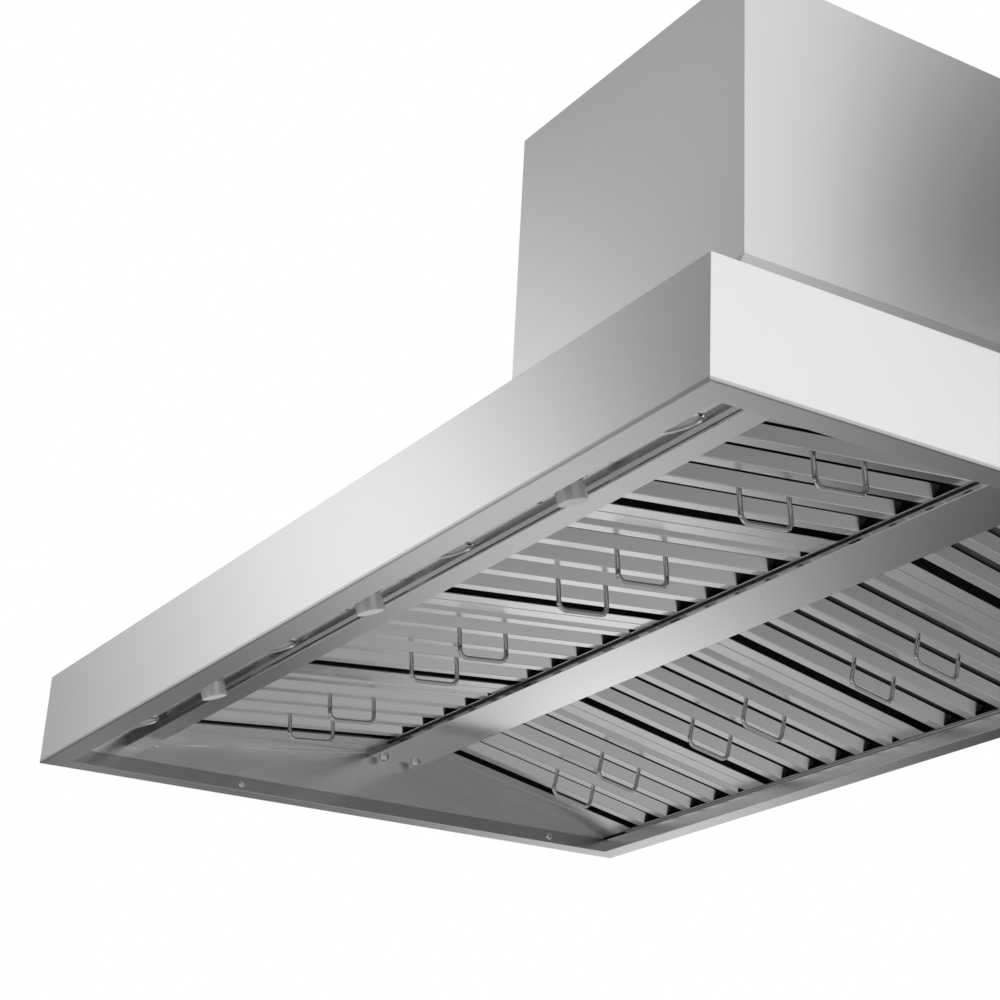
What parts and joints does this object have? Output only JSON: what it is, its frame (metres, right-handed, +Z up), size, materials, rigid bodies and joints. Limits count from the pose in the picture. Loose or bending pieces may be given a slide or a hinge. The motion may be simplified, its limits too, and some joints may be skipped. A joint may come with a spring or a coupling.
{
  "type": "wall-mounted outdoor range hood",
  "caption": "Wide pyramid canopy hood in brushed stainless steel with two banks of lift-out baffle filters, lights and knobs under its rim and a wall chimney.",
  "frame": {"origin": "centre of the four wall bolt holes, on the hood's back face", "axes": "+X along the wall to the right seen from the front, +Y into the wall, +Z up"},
  "size_m": [1.524, 0.919, 0.877],
  "materials": {
    "canopy_steel": "brushed",
    "filter_steel": "satin",
    "bright_steel": "polished",
    "zinc_steel": "galvanised",
    "dark_steel": "plain",
    "black_paint": "satin",
    "control_plastic": "matte",
    "lens_glass": "prismatic"
  },
  "bodies": {
    "hood": {"canopy_band": "canopy_steel", "canopy_roof": "canopy_steel", "back_panel": "canopy_steel", "mounting_rails": "zinc_steel", "chimney_cover": "canopy_steel", "chimney_bracket": "zinc_steel", "duct_plate": "zinc_steel", "duct_collars": "zinc_steel", "blower_housings": "zinc_steel", "motors": "black_paint", "junction_box": "zinc_steel", "end_liner_left": "canopy_steel", "end_liner_right": "canopy_steel", "rear_filter_rail": "canopy_steel", "light_panel": "canopy_steel", "front_filter_rail": "canopy_steel", "centre_bar": "canopy_steel", "ridge_channel": "dark_steel", "bar_bolts": "bright_steel", "cover_screws": "bright_steel", "wiring_cover": "zinc_steel", "rotary_controls": "control_plastic", "light_bezels": "bright_steel", "light_lenses": "lens_glass", "lamp_housings": "dark_steel"},
    "damper_left_front": {"damper_flap_left_front": "zinc_steel"},
    "damper_left_rear": {"damper_flap_left_rear": "zinc_steel"},
    "damper_right_front": {"damper_flap_right_front": "zinc_steel"},
    "damper_right_rear": {"damper_flap_right_rear": "zinc_steel"},
    "fan_left": {"fan_wheel_left": "zinc_steel", "motor_shaft_left": "bright_steel"},
    "fan_right": {"fan_wheel_right": "zinc_steel", "motor_shaft_right": "bright_steel"},
    "knob_left": {"knob_left": "bright_steel"},
    "knob_middle": {"knob_middle": "bright_steel"},
    "knob_right": {"knob_right": "bright_steel"},
    "front_filter_1": {"front_filter_1_frame": "filter_steel", "front_filter_1_baffles": "filter_steel", "front_filter_1_handles": "bright_steel"},
    "front_filter_2": {"front_filter_2_frame": "filter_steel", "front_filter_2_baffles": "filter_steel", "front_filter_2_handles": "bright_steel"},
    "front_filter_3": {"front_filter_3_frame": "filter_steel", "front_filter_3_baffles": "filter_steel", "front_filter_3_handles": "bright_steel"},
    "front_filter_4": {"front_filter_4_frame": "filter_steel", "front_filter_4_baffles": "filter_steel", "front_filter_4_handles": "bright_steel"},
    "rear_filter_1": {"rear_filter_1_frame": "filter_steel", "rear_filter_1_baffles": "filter_steel", "rear_filter_1_handles": "bright_steel"},
    "rear_filter_2": {"rear_filter_2_frame": "filter_steel", "rear_filter_2_baffles": "filter_steel", "rear_filter_2_handles": "bright_steel"},
    "rear_filter_3": {"rear_filter_3_frame": "filter_steel", "rear_filter_3_baffles": "filter_steel", "rear_filter_3_handles": "bright_steel"},
    "rear_filter_4": {"rear_filter_4_frame": "filter_steel", "rear_filter_4_baffles": "filter_steel", "rear_filter_4_handles": "bright_steel"}
  },
  "joints": [
    {"name": "front_filter_1_slide", "type": "slide", "parent": "hood", "child": "front_filter_1", "axis": [0, 0.9956, 0.0933], "range_m": [0, 0.02]},
    {"name": "front_filter_2_slide", "type": "slide", "parent": "hood", "child": "front_filter_2", "axis": [0, 0.9956, 0.0933], "range_m": [0, 0.02]},
    {"name": "front_filter_3_slide", "type": "slide", "parent": "hood", "child": "front_filter_3", "axis": [0, 0.9956, 0.0933], "range_m": [0, 0.02]},
    {"name": "front_filter_4_slide", "type": "slide", "parent": "hood", "child": "front_filter_4", "axis": [0, 0.9956, 0.0933], "range_m": [0, 0.02]},
    {"name": "rear_filter_1_slide", "type": "slide", "parent": "hood", "child": "rear_filter_1", "axis": [0, -0.9801, 0.1984], "range_m": [0, 0.02]},
    {"name": "rear_filter_2_slide", "type": "slide", "parent": "hood", "child": "rear_filter_2", "axis": [0, -0.9801, 0.1984], "range_m": [0, 0.02]},
    {"name": "rear_filter_3_slide", "type": "slide", "parent": "hood", "child": "rear_filter_3", "axis": [0, -0.9801, 0.1984], "range_m": [0, 0.02]},
    {"name": "rear_filter_4_slide", "type": "slide", "parent": "hood", "child": "rear_filter_4", "axis": [0, -0.9801, 0.1984], "range_m": [0, 0.02]},
    {"name": "knob_left_turn", "type": "hinge", "parent": "hood", "child": "knob_left", "pos_m": [-0.378, -0.84679, -0.26642], "axis": [0, 0.309, -0.9511], "range_deg": [0, 270]},
    {"name": "knob_middle_turn", "type": "hinge", "parent": "hood", "child": "knob_middle", "pos_m": [0.028, -0.84679, -0.26642], "axis": [0, 0.309, -0.9511], "range_deg": [0, 270]},
    {"name": "knob_right_turn", "type": "hinge", "parent": "hood", "child": "knob_right", "pos_m": [0.434, -0.84679, -0.26642], "axis": [0, 0.309, -0.9511], "range_deg": [0, 270]},
    {"name": "fan_left_spin", "type": "hinge", "parent": "hood", "child": "fan_left", "pos_m": [-0.15, -0.3175, 0.015], "axis": [1, 0, 0], "continuous": true},
    {"name": "damper_left_front_swing", "type": "hinge", "parent": "hood", "child": "damper_left_front", "pos_m": [-0.15, -0.255, 0.1932], "axis": [-1, 0, 0], "range_deg": [0, 75]},
    {"name": "damper_left_rear_swing", "type": "hinge", "parent": "hood", "child": "damper_left_rear", "pos_m": [-0.15, -0.255, 0.1932], "axis": [1, 0, 0], "range_deg": [0, 75]},
    {"name": "fan_right_spin", "type": "hinge", "parent": "hood", "child": "fan_right", "pos_m": [0.15, -0.3175, 0.015], "axis": [1, 0, 0], "continuous": true},
    {"name": "damper_right_front_swing", "type": "hinge", "parent": "hood", "child": "damper_right_front", "pos_m": [0.15, -0.255, 0.1932], "axis": [-1, 0, 0], "range_deg": [0, 75]},
    {"name": "damper_right_rear_swing", "type": "hinge", "parent": "hood", "child": "damper_right_rear", "pos_m": [0.15, -0.255, 0.1932], "axis": [1, 0, 0], "range_deg": [0, 75]}
  ]
}
